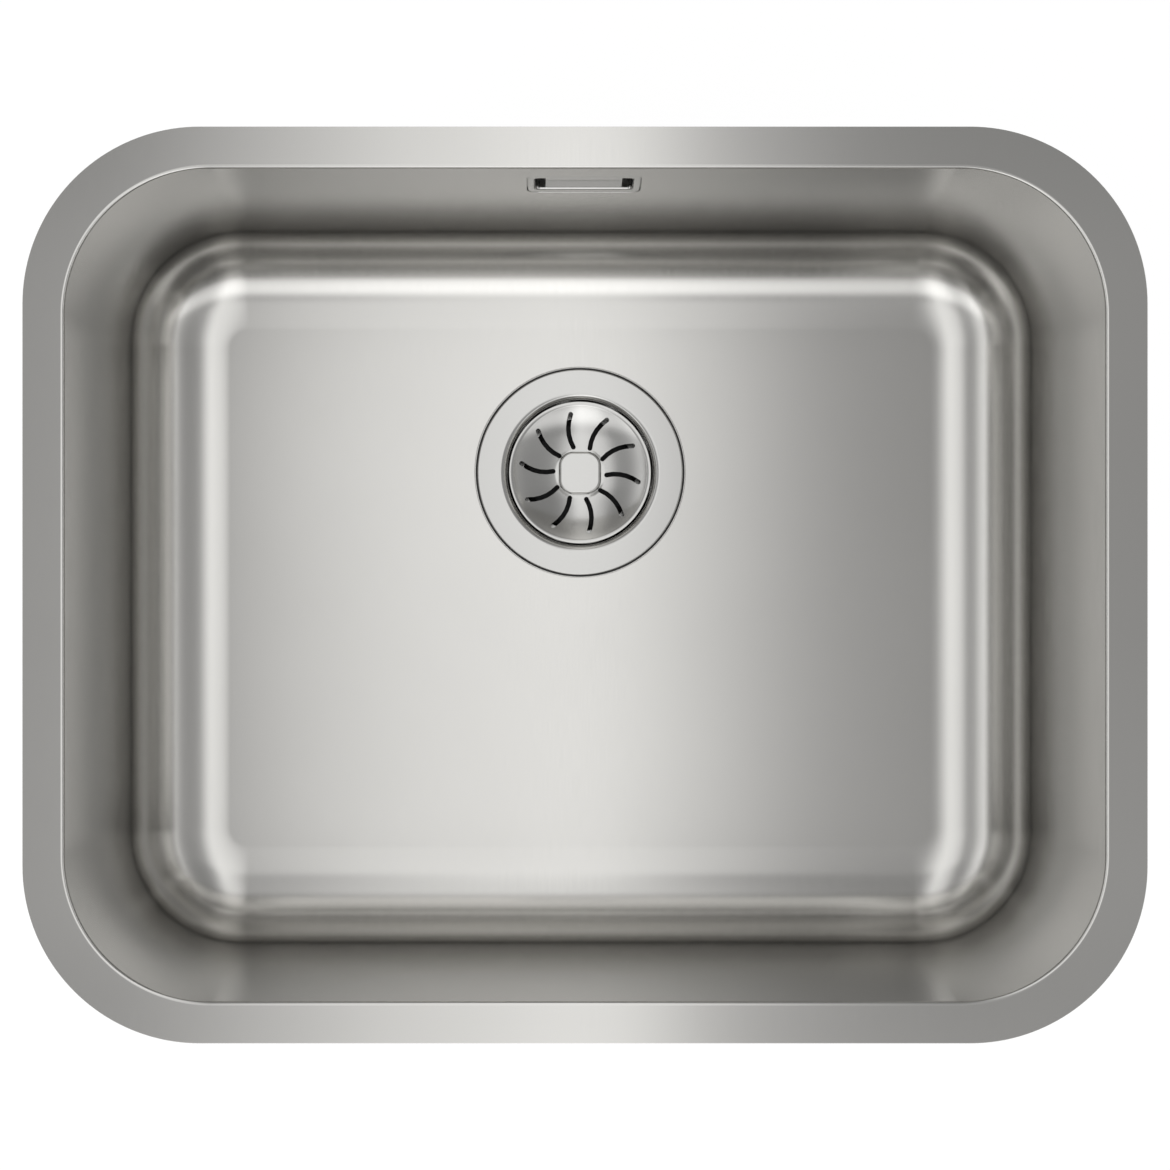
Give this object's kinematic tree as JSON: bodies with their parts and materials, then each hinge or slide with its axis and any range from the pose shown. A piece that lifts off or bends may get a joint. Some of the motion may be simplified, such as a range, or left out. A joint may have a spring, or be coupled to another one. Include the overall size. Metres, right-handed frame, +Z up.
{
  "type": "undermount kitchen sink",
  "caption": "Rectangular undermount stainless sink with rounded corners, basket strainer waste, rear wall overflow piped to the waste, sound pads and swivelling fixing clips.",
  "frame": {"origin": "centre of the flange's top face, in the plane of the worktop's underside", "axes": "+X along the long side, +Y towards the wall with the overflow, +Z up"},
  "size_m": [0.54, 0.4449, 0.2905],
  "materials": {
    "bowl_steel": "satin brushed stainless steel",
    "waste_steel": "fine satin to polished stainless steel",
    "zinc_steel": "zinc plated steel",
    "brass": "machined brass",
    "rubber": "black rubber",
    "waste_plastic": "white moulded polypropylene",
    "black_plastic": "black moulded nylon",
    "hose_plastic": "pale grey ribbed plastic",
    "sound_pad": "dark grey filled rubber sheet"
  },
  "bodies": {
    "root": {"bowl": "bowl_steel", "flange_gasket": "rubber", "waste_cup": "waste_steel", "body_gasket": "rubber", "waste_body": "waste_plastic", "outlet_funnel": "waste_plastic", "clamp_screw": "waste_steel", "clamp_insert": "brass", "overflow_cover": "waste_steel", "overflow_gasket": "rubber", "overflow_housing": "waste_plastic", "overflow_screws": "zinc_steel", "overflow_hose": "hose_plastic", "hose_nut_upper": "waste_plastic", "hose_nut_lower": "waste_plastic", "hose_seal_upper": "rubber", "hose_seal_lower": "rubber", "clip_studs": "zinc_steel", "clip_nuts": "zinc_steel", "sound_pad_left": "sound_pad", "sound_pad_right": "sound_pad", "sound_pad_front": "sound_pad", "sound_pad_floor": "sound_pad"},
    "stopper": {"stem": "waste_steel", "catch_ring": "rubber", "stopper_seal": "rubber", "stopper_plate": "black_plastic", "stopper_nut": "zinc_steel", "stem_sleeve": "waste_plastic"},
    "strainer": {"strainer_dish": "waste_steel", "strainer_knob": "waste_steel"},
    "clip_rear_left": {"clip_rear_left": "zinc_steel"},
    "clip_rear_right": {"clip_rear_right": "zinc_steel"},
    "clip_front_left": {"clip_front_left": "zinc_steel"},
    "clip_front_right": {"clip_front_right": "zinc_steel"},
    "clip_left_rear": {"clip_left_rear": "zinc_steel"},
    "clip_left_front": {"clip_left_front": "zinc_steel"},
    "clip_right_rear": {"clip_right_rear": "zinc_steel"},
    "clip_right_front": {"clip_right_front": "zinc_steel"}
  },
  "joints": [
    {"name": "basket_lift", "type": "slide", "parent": "root", "child": "stopper", "axis": [0, 0, 1], "range_m": [0, 0.27]},
    {"name": "strainer_turn", "type": "hinge", "parent": "stopper", "child": "strainer", "pos_m": [0, 0.063, -0.212], "axis": [0, 0, 1], "continuous": true},
    {"name": "clip_rear_left_turn", "type": "hinge", "parent": "root", "child": "clip_rear_left", "pos_m": [-0.15, 0.211, -0.002], "axis": [0, 0, 1], "range_deg": [0, 180]},
    {"name": "clip_rear_right_turn", "type": "hinge", "parent": "root", "child": "clip_rear_right", "pos_m": [0.15, 0.211, -0.002], "axis": [0, 0, -1], "range_deg": [0, 180]},
    {"name": "clip_front_left_turn", "type": "hinge", "parent": "root", "child": "clip_front_left", "pos_m": [-0.15, -0.211, -0.002], "axis": [0, 0, -1], "range_deg": [0, 180]},
    {"name": "clip_front_right_turn", "type": "hinge", "parent": "root", "child": "clip_front_right", "pos_m": [0.15, -0.211, -0.002], "axis": [0, 0, 1], "range_deg": [0, 180]},
    {"name": "clip_left_rear_turn", "type": "hinge", "parent": "root", "child": "clip_left_rear", "pos_m": [-0.261, 0.1, -0.002], "axis": [0, 0, -1], "range_deg": [0, 180]},
    {"name": "clip_left_front_turn", "type": "hinge", "parent": "root", "child": "clip_left_front", "pos_m": [-0.261, -0.1, -0.002], "axis": [0, 0, 1], "range_deg": [0, 180]},
    {"name": "clip_right_rear_turn", "type": "hinge", "parent": "root", "child": "clip_right_rear", "pos_m": [0.261, 0.1, -0.002], "axis": [0, 0, 1], "range_deg": [0, 180]},
    {"name": "clip_right_front_turn", "type": "hinge", "parent": "root", "child": "clip_right_front", "pos_m": [0.261, -0.1, -0.002], "axis": [0, 0, -1], "range_deg": [0, 180]}
  ]
}
